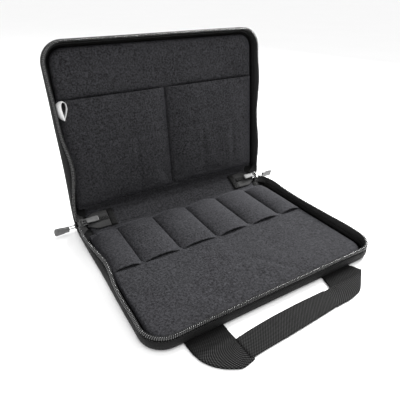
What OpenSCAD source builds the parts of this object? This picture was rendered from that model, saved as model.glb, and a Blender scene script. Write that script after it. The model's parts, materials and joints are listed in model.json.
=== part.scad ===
// Soft zipped clamshell carry case: a padded base and lid joined by a folding spine,
// with sewn pockets, a coil zip that runs round three sides, and a webbing handle.
// Origin: ground level, middle of the case's width, hinge-side edge of the base rim.
// X runs along the hinge, Y towards the back, Z up. The lid stands open.

/* [Case] */
// Width between the zip coils of the left and right sides
coil_w = 330; // [300:1:380]
// Depth from the hinge-side edge of the rim to the front coil
case_d = 233; // [215:1:280]
// Height of the coil plane above the outer face of one half
half_h = 20; // [20:0.5:26]
// Plan radius of the front corners, measured at the coil
corner_r = 27; // [18:1:40]
// Plan radius of the cover's corners beside the spine
back_r = 14; // [8:1:20]
// Gap between the two coil planes when the case is shut
shut_gap = 1; // [0.6:0.1:3]
// Distance of each fold line behind the hinge-side edge of its rim
fold_back = 8; // [8:0.5:10]

/* [Rest pose] */
// Angle of the spine above the ground
spine_angle = 30; // [15:1:60]
// Angle of the lid above the ground
lid_angle = 84.5; // [75:0.5:110]

/* [Pockets] */
// Distance between the seams of the small pockets
pocket_pitch = 57.5; // [45:0.5:58]
// Depth of the small pockets, from the hinge side to their mouths
pocket_d = 100; // [70:1:120]
// Height of the two large lid pockets
lid_pocket_d = 160; // [120:1:190]
// Height of the top of the pockets above the outer face of a half
pocket_top = 15.2; // [14:0.1:15.6]
// Distance of the padding's edge inside the coil
pad_inset = 8; // [6:0.5:14]

/* [Handle] */
// Width of the webbing
webbing_w = 48; // [38:1:50]
// Thickness of the webbing
webbing_t = 1.8; // [1.4:0.1:2.2]
// Position of the left leg's centre line
leg_left_x = -104; // [-110:1:-80]
// Position of the right leg's centre line
leg_right_x = 90; // [80:1:110]
// Distance from the handle's fold line to the far edge of the grip
handle_reach = 50; // [44:1:70]
// Width of the grip, where the webbing is folded lengthwise
grip_w = 32; // [24:1:34]

/* [Zip] */
// Radius of the coil
coil_r = 1.2; // [0.8:0.1:1.2]
// Length of each slider
slider_l = 15; // [13:0.5:16]
// Travel of each slider along its zip tail
slider_travel = 11; // [8:1:14]
// Length of the outer pull tabs
outer_tab_l = 22; // [16:1:26]
// Length of the inner pull tabs
inner_tab_l = 19; // [14:1:20]

/* [Hidden] */
$fn = 64;
half_w = coil_w / 2;
eps = 0.01;
// How far a cutting shape runs past what it cuts.
cut = 1;

// Layers of one half, as heights above its outer face.
cover_t = 2;
anchor_z = cover_t;
board_z = 3.8;
board_t = 1.2;
foam_t = 1.6;
lining_t = 0.8;
foam_z = board_z + board_t;
lining_z = foam_z + foam_t;
pocket_floor = lining_z + lining_t;
panel_t = 1.3;
wall_h = 12;
wall_in = 0.5;
wall_out = 2;
tape_half_t = 0.4;
tape_z = 9;
coil_gap = 0.2;
coil_z = half_h - coil_r - coil_gap;
rim_end = -4;

// Pocket sheets and their sewn edges.
sheet_t = 2;
seam_t = 1.2;
seam_gap = 0.3;
pad_half_w = half_w - pad_inset;
pad_front = -(case_d - pad_inset);
pad_back = -2;
small_pockets = 6;
pocket_back = -1;
corner_pocket_back = -6;
lid_pocket_top = 16;
lid_pocket_back = -6;
mouth_gap = 2;

// Fold lines and the spine between them.
axis_z = 1.2;
fold_r = 1.1;
fold_half_w = 150;
spine_len = 2 * half_h + shut_gap - 2 * axis_z;
spine_gap = 1.6;
spine_cover_t = 1;
spine_board_t = 1.2;
spine_lining_t = 1.2;
spine_inset = 2.4;
lid_fold_y = fold_back + spine_len * cos(spine_angle);
lid_fold_z = axis_z + spine_len * sin(spine_angle);
spine_mid = spine_len / 2;

// Zip tails on the spine: two tapes with a slit between their coils.
slider_rear = 150;
tail_in_slider = 2;
tail_rest = 21;
tail_out = slider_rear + tail_in_slider;
tail_in = slider_rear - slider_travel - tail_rest;
tail_half_w = 14;
tail_n = 4.6;
tail_t = 0.6;
slit_half = 1.9;
tail_coil_r = 1.1;
tail_end_l = 10;
tail_end_lap = 1;
tail_end_top = 6.4;

// Slider plates above and below the tail, seen along the spine's inner normal.
slider_nose_r = 6.2;
slider_rear_half = 5.2;
plate_t = 1.2;
outer_plate_n = 2.9;
inner_plate_n = 7.6;
flange_n = 5.6;
flange_t = 0.8;
post_r = 1.2;
post_inset = 3;
pin_r = 0.7;
sleeve_r = 1.5;
pin_clearance = 0.08;
sleeve_half = 2.8;
lug_t = 1.1;
lug_gap = 0.2;
lug_half = 1.2;
lug_root = 0.4;
nose_lug_lap = 4;
inner_pin_n = 10.4;
outer_pin_n = 4;
outer_pin_out = 2.8;
outer_pin_x = slider_rear + slider_l + outer_pin_out;
inner_pin_in = 6;
inner_pin_x = slider_rear + slider_l - inner_pin_in;
wire_r = 0.6;
wire_half_gap = 2;
outer_wire_l = 12;
inner_wire_l = 6.5;
outer_tab_w = 13;
outer_tab_t = 5;
inner_tab_w = 9;
inner_tab_t = 3.2;
tab_corner_r = 2.5;

// Handle.
handle_gap = 2.4;
handle_axis_out = wall_out + handle_gap;
handle_axis_y = -(case_d + handle_axis_out);
handle_axis_z = 1.1;
grip_t = 2.8;
anchor_l = 38;
anchor_t = 1.6;

// Label loop at the lid's left edge.
label_l = 20;
label_w = 14;
label_t = 1.2;
label_y = -160;
label_out = 4;
label_gap = 0.2;

fabric = "#26262b";
velour = "#3c3c42";
webbing = "#1d1d20";
board = "#8a8378";
foam = "#5a5a5e";
metal = "#9a9a9a";
pull = "#77777a";

// ---------------------------------------------------------------- frames

// Spine frame: X along the hinge, Y up the spine, Z towards the inside of the case.
module on_spine() {
    translate([0, fold_back, axis_z]) rotate([spine_angle, 0, 0]) children();
}

// A half is drawn lying as the base lies; this stands one up as the lid.
module on_lid() {
    translate([0, lid_fold_y, lid_fold_z])
        rotate([lid_angle, 0, 0])
            translate([0, fold_back, -axis_z])
                mirror([0, 1, 0])
                    children();
}

module right_side() {
    mirror([1, 0, 0]) children();
}

// ---------------------------------------------------------------- outlines

// Plan of a half, grown by e beyond the coil line, with round front corners.
module plan(e, back) {
    flat = half_w - corner_r;
    translate([-half_w - e, -case_d + corner_r]) square([2 * (half_w + e), case_d - corner_r + back]);
    translate([-flat, -case_d - e]) square([2 * flat, case_d + e + back]);
    for (side = [-1, 1])
        translate([side * flat, -case_d + corner_r]) circle(r = corner_r + e);
}

// The same plan with its back corners rounded too.
module rounded_plan(e, back) {
    r = back_r;
    intersection() {
        plan(e, back);
        union() {
            translate([-half_w - e, -case_d - e]) square([2 * (half_w + e), case_d + e + back - r]);
            translate([-half_w - e + r, back - r]) square([2 * (half_w + e - r), r]);
            for (side = [-1, 1])
                translate([side * (half_w + e - r), back - r]) circle(r = r);
        }
    }
}

// Band along the left, front and right of a half, open at the spine.
module rim_band(e_in, e_out) {
    difference() {
        plan(e_out, rim_end);
        plan(e_in, cut);
    }
}

// Block given by its low and high corners.
module block(low, high) {
    translate(low) cube(high - low);
}

// ---------------------------------------------------------------- one half

module half_shell() {
    color(fabric) {
        linear_extrude(cover_t) rounded_plan(wall_out, fold_back - fold_r + eps);
        translate([0, 0, cover_t]) linear_extrude(wall_h - cover_t) rim_band(wall_in, wall_out);
        translate([-fold_half_w, fold_back, axis_z])
            rotate([0, 90, 0]) cylinder(r = fold_r, h = 2 * fold_half_w);
    }
}

module half_board() {
    color(board) block([-pad_half_w, pad_front, board_z], [pad_half_w, pad_back, foam_z]);
}

module half_foam() {
    color(foam) block([-pad_half_w, pad_front, foam_z], [pad_half_w, pad_back, lining_z]);
}

module half_lining() {
    color(velour)
        translate([0, 0, lining_z])
            linear_extrude(lining_t)
                plan(-pad_inset, pad_back);
}

module half_zip_tape() {
    color(webbing)
        translate([0, 0, tape_z])
            linear_extrude(coil_z - coil_r - tape_z)
                rim_band(-tape_half_t, tape_half_t);
}

// Coil: two straight sides, a straight front and a quarter ring at each front corner.
module half_zip_coil() {
    flat = half_w - corner_r;
    side_l = case_d - corner_r + rim_end;
    color(metal) translate([0, 0, coil_z]) {
        for (side = [-1, 1]) {
            translate([side * half_w, -case_d + corner_r, 0])
                rotate([-90, 0, 0]) cylinder(r = coil_r, h = side_l);
            translate([side * flat, -case_d + corner_r, 0])
                rotate([0, 0, side > 0 ? -90 : 180])
                    rotate_extrude(angle = 90) translate([corner_r, 0]) circle(r = coil_r);
        }
        translate([-flat, -case_d, 0]) rotate([0, 90, 0]) cylinder(r = coil_r, h = 2 * flat);
    }
}

// Pocket: a padded sheet on sewn sides and a sewn back, open towards the front.
module pocket(x0, x1, y_back, y_mouth, top) {
    color(velour) difference() {
        block([x0, y_mouth, pocket_floor], [x1, y_back, top]);
        block([x0 + seam_t, y_mouth - cut, pocket_floor - cut],
              [x1 - seam_t, y_back - seam_t, top - sheet_t]);
    }
}

// ---------------------------------------------------------------- base

module base_shell() {
    half_shell();
}

module base_board() {
    half_board();
}

module base_foam() {
    half_foam();
}

module base_lining() {
    half_lining();
}

module base_front_panel() {
    color(velour)
        translate([0, 0, pocket_floor])
            linear_extrude(panel_t)
                plan(-pad_inset, -(pocket_d + mouth_gap));
}

// Small pockets, numbered from the left; the two at the ends stop short of the zip tails.
module base_pocket(i) {
    first = -small_pockets / 2 * pocket_pitch;
    x0 = max(first + (i - 1) * pocket_pitch, -pad_half_w) + seam_gap;
    x1 = min(first + i * pocket_pitch, pad_half_w) - seam_gap;
    back = (i == 1 || i == small_pockets) ? corner_pocket_back : pocket_back;
    pocket(x0, x1, back, -pocket_d, pocket_top);
}

module base_zip_tape() {
    half_zip_tape();
}

module base_zip_coil() {
    half_zip_coil();
}

// Tail of the handle webbing, sewn in between the cover and the board.
module handle_anchor(x) {
    y = -(case_d - wall_in);
    color(webbing)
        block([x - webbing_w / 2, y, anchor_z], [x + webbing_w / 2, y + anchor_l, anchor_z + anchor_t]);
}

// ---------------------------------------------------------------- spine

module spine_cover() {
    color(fabric) on_spine()
        block([-fold_half_w, spine_gap, -axis_z],
              [fold_half_w, spine_len - spine_gap, spine_cover_t - axis_z]);
}

module spine_board() {
    n = spine_cover_t - axis_z;
    color(board) on_spine()
        block([-fold_half_w + spine_inset, spine_gap + spine_inset, n],
              [fold_half_w - spine_inset, spine_len - spine_gap - spine_inset, n + spine_board_t]);
}

module spine_lining() {
    n = spine_cover_t + spine_board_t - axis_z;
    color(velour) on_spine()
        block([-fold_half_w, spine_gap, n], [fold_half_w, spine_len - spine_gap, n + spine_lining_t]);
}

// Closed length of zip that lies on the spine, drawn at the left.
module zip_tail() {
    color(webbing) on_spine() for (side = [-1, 1]) {
        inner = spine_mid + side * slit_half;
        outer = spine_mid + side * tail_half_w;
        coil_s = inner + side * tail_coil_r;
        block([-tail_out, min(inner, outer), tail_n], [-tail_in, max(inner, outer), tail_n + tail_t]);
        translate([-tail_out, coil_s, tail_n + tail_t + tail_coil_r])
            rotate([0, 90, 0]) cylinder(r = tail_coil_r, h = tail_out - tail_in);
        block([-tail_out, coil_s - tail_t / 2, tail_n], [-tail_in, coil_s + tail_t / 2, tail_n + 2 * tail_t]);
    }
}

// Sewn patch that holds the inner end of a tail down on the lining, drawn at the left.
module tail_end() {
    n = spine_cover_t + spine_board_t + spine_lining_t - axis_z;
    color(fabric) on_spine()
        block([-tail_in, spine_mid - tail_half_w - tail_end_lap, n],
              [-tail_in + tail_end_l, spine_mid + tail_half_w + tail_end_lap, tail_end_top]);
}

// ---------------------------------------------------------------- zip sliders and pulls

// Outline of a slider plate: round at the nose, straight towards the closed tail.
module slider_plate() {
    nose = slider_rear + slider_l - slider_nose_r;
    translate([-nose, spine_mid]) circle(r = slider_nose_r);
    translate([-nose, spine_mid - slider_rear_half]) square([nose - slider_rear, 2 * slider_rear_half]);
}

// Pair of lugs with a pin between them, on the line across the slider at x.
module pin_with_lugs(x, n, lug_low, lug_high) {
    reach = sleeve_half + lug_gap + lug_t;
    translate([x, spine_mid - reach, n]) rotate([-90, 0, 0]) cylinder(r = pin_r, h = 2 * reach);
    for (side = [-1, 1]) {
        s = spine_mid + side * (reach - lug_t / 2);
        block([lug_low[0], s - lug_t / 2, lug_low[1]], [lug_high[0], s + lug_t / 2, lug_high[1]]);
    }
}

// Slider, drawn at the left end of the spine.
module slider() {
    nose = slider_rear + slider_l;
    color(metal) on_spine() {
        translate([0, 0, outer_plate_n]) linear_extrude(plate_t) slider_plate();
        translate([0, 0, inner_plate_n]) linear_extrude(plate_t) slider_plate();
        translate([-nose + post_inset, spine_mid, outer_plate_n])
            cylinder(r = post_r, h = inner_plate_n - outer_plate_n + plate_t);
        for (side = [-1, 1]) {
            s = spine_mid + side * (slider_rear_half - flange_t / 2);
            block([-nose + slider_nose_r, s - flange_t / 2, flange_n],
                  [-slider_rear, s + flange_t / 2, inner_plate_n + plate_t / 2]);
        }
        pin_with_lugs(-inner_pin_x, inner_pin_n,
                      [-inner_pin_x - lug_half, inner_plate_n + plate_t - lug_root],
                      [-inner_pin_x + lug_half, inner_pin_n + lug_half]);
        pin_with_lugs(-outer_pin_x, outer_pin_n,
                      [-outer_pin_x - lug_half, outer_plate_n],
                      [-nose + nose_lug_lap, outer_plate_n + plate_t]);
    }
}

// Sleeve on a slider's pin with two wires that run from it along X by length l.
module wire_link(x, n, l, direction) {
    color(metal) on_spine() {
        difference() {
            union() {
                translate([x, spine_mid - sleeve_half, n])
                    rotate([-90, 0, 0]) cylinder(r = sleeve_r, h = 2 * sleeve_half);
                for (side = [-1, 1])
                    translate([x, spine_mid + side * wire_half_gap, n])
                        rotate([0, 90 * direction, 0]) cylinder(r = wire_r, h = l);
            }
            translate([x, spine_mid - sleeve_half - cut, n])
                rotate([-90, 0, 0]) cylinder(r = pin_r + pin_clearance, h = 2 * (sleeve_half + cut));
        }
    }
}

// Moulded tab: length along X, width along Y, thickness along Z, centred, far corners round.
module tab_body(l, w, t, direction) {
    r = tab_corner_r;
    translate([0, 0, -t / 2]) linear_extrude(t) {
        translate([direction > 0 ? 0 : -(l - r), -w / 2]) square([l - r, w]);
        translate([direction > 0 ? 0 : -l, -w / 2 + r]) square([l, w - 2 * r]);
        for (side = [-1, 1])
            translate([direction * (l - r), side * (w / 2 - r)]) circle(r = r);
    }
}

module outer_link() {
    wire_link(-outer_pin_x, outer_pin_n, outer_wire_l, -1);
}

// The outer tab hangs with its width upright.
module outer_tab() {
    color(pull) on_spine()
        translate([-outer_pin_x - outer_wire_l, spine_mid, outer_pin_n])
            rotate([90 - spine_angle, 0, 0])
                tab_body(outer_tab_l, outer_tab_w, outer_tab_t, -1);
}

module inner_link() {
    wire_link(-inner_pin_x, inner_pin_n, inner_wire_l, 1);
}

module inner_tab() {
    color(pull) on_spine()
        translate([-inner_pin_x + inner_wire_l, spine_mid, inner_pin_n])
            tab_body(inner_tab_l, inner_tab_w, inner_tab_t, 1);
}

// ---------------------------------------------------------------- lid

module lid_shell() {
    on_lid() half_shell();
}

module lid_board() {
    on_lid() half_board();
}

module lid_foam() {
    on_lid() half_foam();
}

module lid_lining() {
    on_lid() half_lining();
}

// Left large pocket; the right one is its mirror image.
module lid_pocket() {
    on_lid() pocket(-pad_half_w, -seam_gap, lid_pocket_back, -lid_pocket_d, lid_pocket_top);
}

module lid_zip_tape() {
    on_lid() half_zip_tape();
}

module lid_zip_coil() {
    on_lid() half_zip_coil();
}

// Blank folded loop sewn in at the lid's left edge.
module label_loop() {
    x = -pad_half_w - label_out;
    z = lid_pocket_top + label_gap;
    color("white") on_lid()
        block([x, label_y, z], [x + label_w, label_y + label_l, z + label_t]);
}

// ---------------------------------------------------------------- handle

// Leg of the handle, from its fold line at the case out to the grip's far edge.
module handle_leg(x) {
    z = handle_axis_z - webbing_t / 2;
    color(webbing) {
        block([x - webbing_w / 2, handle_axis_y - handle_reach, z],
              [x + webbing_w / 2, handle_axis_y, z + webbing_t]);
        translate([x - webbing_w / 2, handle_axis_y, handle_axis_z])
            rotate([0, 90, 0]) cylinder(r = webbing_t / 2, h = webbing_w);
    }
}

module handle_grip() {
    z = handle_axis_z - webbing_t / 2;
    far = handle_axis_y - handle_reach;
    color(webbing)
        block([leg_left_x + webbing_w / 2, far, z], [leg_right_x - webbing_w / 2, far + grip_w, z + grip_t]);
}

base_shell();
base_board();
base_foam();
base_lining();
base_front_panel();
base_pocket(1);  // base_pocket_1
base_pocket(2);  // base_pocket_2
base_pocket(3);  // base_pocket_3
base_pocket(4);  // base_pocket_4
base_pocket(5);  // base_pocket_5
base_pocket(6);  // base_pocket_6
base_zip_tape();
base_zip_coil();
handle_anchor(leg_left_x);  // handle_anchor_left
handle_anchor(leg_right_x);  // handle_anchor_right
spine_cover();
spine_board();
spine_lining();
zip_tail();  // zip_tail_left
right_side() zip_tail();  // zip_tail_right
tail_end();  // tail_end_left
right_side() tail_end();  // tail_end_right
lid_shell();
lid_board();
lid_foam();
lid_lining();
lid_pocket();  // lid_pocket_left
right_side() lid_pocket();  // lid_pocket_right
lid_zip_tape();
lid_zip_coil();
label_loop();
slider();  // slider_left
right_side() slider();  // slider_right
outer_link();  // outer_link_left
outer_tab();  // outer_tab_left
inner_link();  // inner_link_left
inner_tab();  // inner_tab_left
right_side() outer_link();  // outer_link_right
right_side() outer_tab();  // outer_tab_right
right_side() inner_link();  // inner_link_right
right_side() inner_tab();  // inner_tab_right
handle_leg(leg_left_x);  // handle_leg_left
handle_leg(leg_right_x);  // handle_leg_right
handle_grip();
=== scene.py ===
"""Soft zipped carry case, standing open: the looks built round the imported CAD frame.

Shapes are worked out in millimetres, in one of three local frames, and turned into
metres in the shared frame by base_at, lid_at and spine_at:
  base   x across, y back (front is negative), z up from the base's outer face
  lid    the same frame, stood up as the lid
  spine  x across, s up the spine, n towards the inside of the case
"""

import json
import math

import bmesh
import bpy
import numpy as np
from mathutils import Matrix, Vector


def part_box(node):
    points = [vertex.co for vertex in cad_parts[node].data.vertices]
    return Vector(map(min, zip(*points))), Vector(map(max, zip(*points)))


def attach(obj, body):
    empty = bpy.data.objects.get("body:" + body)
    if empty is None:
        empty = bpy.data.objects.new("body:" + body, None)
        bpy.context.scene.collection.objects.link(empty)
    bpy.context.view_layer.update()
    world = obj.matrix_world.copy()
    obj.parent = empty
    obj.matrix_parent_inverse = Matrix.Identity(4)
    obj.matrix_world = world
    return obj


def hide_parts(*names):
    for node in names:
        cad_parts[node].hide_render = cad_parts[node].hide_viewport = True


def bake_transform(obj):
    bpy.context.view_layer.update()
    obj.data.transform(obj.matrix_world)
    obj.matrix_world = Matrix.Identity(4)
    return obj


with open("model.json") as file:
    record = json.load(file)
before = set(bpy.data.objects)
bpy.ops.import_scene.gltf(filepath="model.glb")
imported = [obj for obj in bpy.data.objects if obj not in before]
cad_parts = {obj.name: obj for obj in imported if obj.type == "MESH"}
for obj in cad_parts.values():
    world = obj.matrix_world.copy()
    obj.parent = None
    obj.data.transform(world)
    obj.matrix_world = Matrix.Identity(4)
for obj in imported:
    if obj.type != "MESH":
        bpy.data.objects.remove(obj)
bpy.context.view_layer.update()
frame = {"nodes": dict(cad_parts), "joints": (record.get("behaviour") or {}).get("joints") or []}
MM = 0.001
SIDES = {-1: "left", 1: "right"}

# ------------------------------------------------------------------ sizes from the frame

joints = {j["name"]: j for j in frame["joints"]}
FOLD_BASE = np.array(joints["spine_fold"]["pos_m"]) / MM
FOLD_LID = np.array(joints["lid_fold"]["pos_m"]) / MM
SPINE_ANGLE = math.atan2(FOLD_LID[2] - FOLD_BASE[2], FOLD_LID[1] - FOLD_BASE[1])
SPINE_LEN = float(np.linalg.norm(FOLD_LID - FOLD_BASE))
SPINE_MID = SPINE_LEN / 2
LID_ANGLE = SPINE_ANGLE - math.radians(joints["lid_fold"]["range_deg"][0])


def node_box(name):
    """Lowest and highest corner of a CAD node, in mm."""
    low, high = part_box(name)
    return np.array(low) / MM, np.array(high) / MM


def node_reach(name):
    """How near to the middle of the case a node on one side starts, and how far it goes."""
    low, high = node_box(name)
    return sorted((abs(low[0]), abs(high[0])))


coil_low, coil_high = node_box("base_zip_coil")
COIL_R = (coil_high[2] - coil_low[2]) / 2
HALF_W = coil_high[0] - COIL_R
FRONT = coil_low[1] + COIL_R
COIL_TOP = coil_high[2]
CORNER_R = 27.0          # plan radius of the coil line at the front corners
RIM_END = -4.0           # y at which a half's wall stops short of its fold
PAD_INSET = 8.0          # from the coil line to the edge of the padding
PAD_W = HALF_W - PAD_INSET
PAD_FRONT = FRONT + PAD_INSET
FLOOR_Z = node_box("base_front_panel")[0][2]
POCKET_TOP = node_box("base_pocket_3")[1][2]
POCKET_MOUTH = node_box("base_pocket_3")[0][1]
POCKETS = 6
LID_MOUTH = -160.0       # y of the mouths of the lid's two pockets


# ------------------------------------------------------------------ frames

def base_at(p):
    """A point of the base's frame, in metres."""
    return np.asarray(p, float) * MM


def lid_at(p):
    """A point of the lid's frame, stood up at the lid's angle, in metres."""
    p = np.asarray(p, float)
    v = FOLD_BASE[1] - p[..., 1]
    w = p[..., 2] - FOLD_BASE[2]
    c, s = math.cos(LID_ANGLE), math.sin(LID_ANGLE)
    return np.stack([p[..., 0], FOLD_LID[1] + v * c - w * s,
                     FOLD_LID[2] + v * s + w * c], -1) * MM


def spine_at(p):
    """A point of the spine's frame, in metres."""
    p = np.asarray(p, float)
    c, s = math.cos(SPINE_ANGLE), math.sin(SPINE_ANGLE)
    return np.stack([p[..., 0], FOLD_BASE[1] + p[..., 1] * c - p[..., 2] * s,
                     FOLD_BASE[2] + p[..., 1] * s + p[..., 2] * c], -1) * MM


AT = {"base": base_at, "lid": lid_at, "spine": spine_at}


# ------------------------------------------------------------------ lines and curves

def running(line):
    """Running length along a line of points."""
    steps = np.linalg.norm(np.diff(line, axis=0), axis=1)
    return np.concatenate([[0], np.cumsum(steps)])


def sample(line, run, at):
    """Points of a line, whose running lengths are run, at the lengths listed in at."""
    return np.stack([np.interp(at, run, column) for column in line.T], -1)


def unit(vectors):
    """Vectors scaled to length 1."""
    return vectors / np.maximum(np.linalg.norm(vectors, axis=-1, keepdims=True), 1e-9)


def relax(line, times):
    """Evens out a line, with its two ends held."""
    for _ in range(times):
        line[1:-1] = (line[:-2] + 2 * line[1:-1] + line[2:]) / 4
    return line


def hermite(p0, t0, p1, t1, count):
    """Rows of points along a smooth curve between arrays of points p0 and p1."""
    t = np.linspace(0, 1, count)[:, None, None]
    return ((2 * t ** 3 - 3 * t ** 2 + 1) * p0 + (t ** 3 - 2 * t ** 2 + t) * t0
            + (-2 * t ** 3 + 3 * t ** 2) * p1 + (t ** 3 - t ** 2) * t1)


def bump_at(x, centre, width):
    """Smooth hill of height 1 round a centre."""
    return np.exp(-((np.asarray(x, float) - centre) / width) ** 2)


def ramp(x, low, high):
    """Smooth rise from 0 at low to 1 at high."""
    t = np.clip((np.asarray(x, float) - low) / (high - low), 0, 1)
    return t * t * (3 - 2 * t)


def rounded(share, least=0.0):
    """Quarter-circle rise to 1 while share goes from 0 to 1."""
    return np.sqrt(np.clip(1 - (1 - np.clip(share, 0, 1)) ** 2, least, 1))


def wander(x, y, seed, size):
    """Slow, repeatable unevenness between about -1 and 1, from a few crossing waves."""
    rng = np.random.default_rng(seed)
    total = np.zeros(np.broadcast(x, y).shape)
    for _ in range(6):
        angle, phase = rng.uniform(0, 2 * math.pi, 2)
        wave = rng.uniform(0.6, 1.7) * 2 * math.pi / size
        total += np.sin(wave * (x * math.cos(angle) + y * math.sin(angle)) + phase)
    return total / 3.5


# ------------------------------------------------------------------ mesh helpers

def lengths(points, axis):
    """Running length in mm along one axis of a grid of points in metres."""
    steps = np.linalg.norm(np.diff(points, axis=axis), axis=-1)
    pad = [(0, 0), (0, 0)]
    pad[axis] = (1, 0)
    return np.pad(np.cumsum(steps, axis=axis), pad) / MM


def make_object(name, verts, faces, uvs=None, material=None, smooth=True):
    """Mesh object in the scene; uvs has one pair for each vertex."""
    mesh = bpy.data.meshes.new(name)
    mesh.from_pydata([tuple(v) for v in verts], [], faces)
    if uvs is not None:
        layer = mesh.uv_layers.new(name="UVMap")
        flat = np.array([uvs[v] for f in faces for v in f], np.float32)
        layer.data.foreach_set("uv", flat.ravel())
    mesh.polygons.foreach_set("use_smooth", [smooth] * len(faces))
    mesh.validate()
    mesh.update()
    obj = bpy.data.objects.new(name, mesh)
    bpy.context.scene.collection.objects.link(obj)
    if material:
        mesh.materials.append(material)
    return obj


def grid_faces(nu, nv, wrap_u=False, wrap_v=False):
    """Four-sided faces of a grid of nu by nv vertices; wrap joins its last row to its first."""
    faces = []
    for i in range(nu if wrap_u else nu - 1):
        for j in range(nv if wrap_v else nv - 1):
            a, b = i, (i + 1) % nu
            c, d = j, (j + 1) % nv
            faces.append((a * nv + c, b * nv + c, b * nv + d, a * nv + d))
    return faces


def grid_piece(name, points, material, tube=False, wrap_u=False, uv=None):
    """Mesh of a (rows, columns, 3) grid in metres. A tube joins each row's two ends and is
    closed by its first and last rows."""
    nu, nv = points.shape[:2]
    faces = grid_faces(nu, nv, wrap_u, tube)
    if tube:
        faces.append(tuple(range(nv)))
        faces.append(tuple((nu - 1) * nv + j for j in reversed(range(nv))))
    if uv is None:
        uv = np.stack([lengths(points, 0), lengths(points, 1)], -1)
    obj = make_object(name, points.reshape(-1, 3), faces, uv.reshape(-1, 2), material)
    return outward(obj)


def outward(obj, fill=False):
    """Turns a mesh's faces outwards, after closing its open loops if fill is set."""
    bm = bmesh.new()
    bm.from_mesh(obj.data)
    if fill:
        bmesh.ops.holes_fill(bm, edges=[e for e in bm.edges if e.is_boundary])
    bmesh.ops.recalc_face_normals(bm, faces=bm.faces)
    bm.to_mesh(obj.data)
    bm.free()
    return obj


def flip_towards(obj, direction):
    """Turns an open skin's faces so that most of them look along a direction."""
    total = np.zeros(3)
    for p in obj.data.polygons:
        total += np.array(p.normal) * p.area
    if total @ direction < 0:
        obj.data.flip_normals()


def modifier(obj, kind, **settings):
    m = obj.modifiers.new(kind.title(), kind)
    for key, value in settings.items():
        setattr(m, key, value)
    return m


def apply_modifiers(obj):
    dg = bpy.context.evaluated_depsgraph_get()
    mesh = bpy.data.meshes.new_from_object(obj.evaluated_get(dg))
    obj.modifiers.clear()
    obj.data = mesh


def thicken(obj, thickness, offset=-1.0):
    modifier(obj, "SOLIDIFY", thickness=thickness * MM, offset=offset)
    apply_modifiers(obj)


def subdivide(obj, levels):
    modifier(obj, "SUBSURF", levels=levels, render_levels=levels)
    apply_modifiers(obj)


# ------------------------------------------------------------------ bodies and hidden CAD nodes

def finish_of(obj, nodes):
    """Hides the named CAD nodes that obj stands for."""
    if nodes:
        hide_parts(*nodes)
    return obj


def piece(obj, body, slot, *nodes):
    """obj rides on a body."""
    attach(obj, body)
    return finish_of(obj, nodes)


def bend_piece(obj, a, b, start, end, slot, *nodes):
    """Bakes obj's placement into its mesh and hides the named CAD nodes. a, b, start and end are not
    used.
    """
    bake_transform(obj)
    return finish_of(obj, nodes)


BEND_REACH = 7.0         # how far to each side of a fold bend_half sets its points


def bend_half(obj, half, slot, *nodes):
    """Bakes obj in place and hides the named nodes, for a piece that crosses the fold between a half
    and the spine.
    """
    in_half = AT[half]([0, FOLD_BASE[1] - BEND_REACH, 0.5])
    if half == "base":
        return bend_piece(obj, "base", "spine", in_half, spine_at([0, BEND_REACH, 0]), slot, *nodes)
    in_spine = spine_at([0, SPINE_LEN - BEND_REACH, 0])
    return bend_piece(obj, "spine", "lid", in_spine, in_half, slot, *nodes)


# ------------------------------------------------------------------ materials

class Look:
    """A procedural material on one Principled shader."""

    def __init__(self, name, **sockets):
        self.mat = bpy.data.materials.new(name)
        self.mat.use_nodes = True
        self.tree = self.mat.node_tree
        self.shader = self.tree.nodes["Principled BSDF"]
        for key, value in sockets.items():
            self.shader.inputs[key.replace("_", " ")].default_value = value

    def node(self, kind, links=(), **settings):
        n = self.tree.nodes.new(kind)
        for key, value in settings.items():
            setattr(n, key, value)
        for socket, value in links:
            if isinstance(value, bpy.types.NodeSocket):
                self.tree.links.new(value, n.inputs[socket])
            else:
                n.inputs[socket].default_value = value
        return n

    def object_coords(self):
        return self.node("ShaderNodeTexCoord").outputs["Object"]

    def uv(self):
        return self.node("ShaderNodeUVMap", uv_map="UVMap").outputs[0]

    def math(self, operation, a, b=0.0, c=0.0):
        n = self.node("ShaderNodeMath", [(0, a), (1, b), (2, c)], operation=operation)
        return n.outputs[0]

    def noise(self, coords, scale, detail=3.0, rough=0.55):
        links = [("Vector", coords), ("Scale", scale), ("Detail", detail), ("Roughness", rough)]
        return self.node("ShaderNodeTexNoise", links).outputs["Fac"]

    def mix(self, fac, a, b):
        n = self.node("ShaderNodeMix", [(0, fac), (6, a), (7, b)], data_type="RGBA")
        return n.outputs[2]

    def span(self, value, low, high, out_low=0.0, out_high=1.0):
        links = [(0, value), (1, low), (2, high), (3, out_low), (4, out_high)]
        return self.node("ShaderNodeMapRange", links).outputs[0]

    def colour(self, socket):
        self.tree.links.new(socket, self.shader.inputs["Base Color"])

    def roughness(self, socket):
        self.tree.links.new(socket, self.shader.inputs["Roughness"])

    def bump(self, height, distance, strength=1.0, under=None):
        links = [("Height", height), ("Distance", distance), ("Strength", strength)]
        if under is not None:
            links.append(("Normal", under))
        return self.node("ShaderNodeBump", links).outputs[0]

    def normal(self, socket):
        self.tree.links.new(socket, self.shader.inputs["Normal"])


def grey(level, tint=(1.0, 1.0, 1.0)):
    return (level * tint[0], level * tint[1], level * tint[2], 1.0)


COOL = (0.97, 0.97, 1.06)


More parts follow.
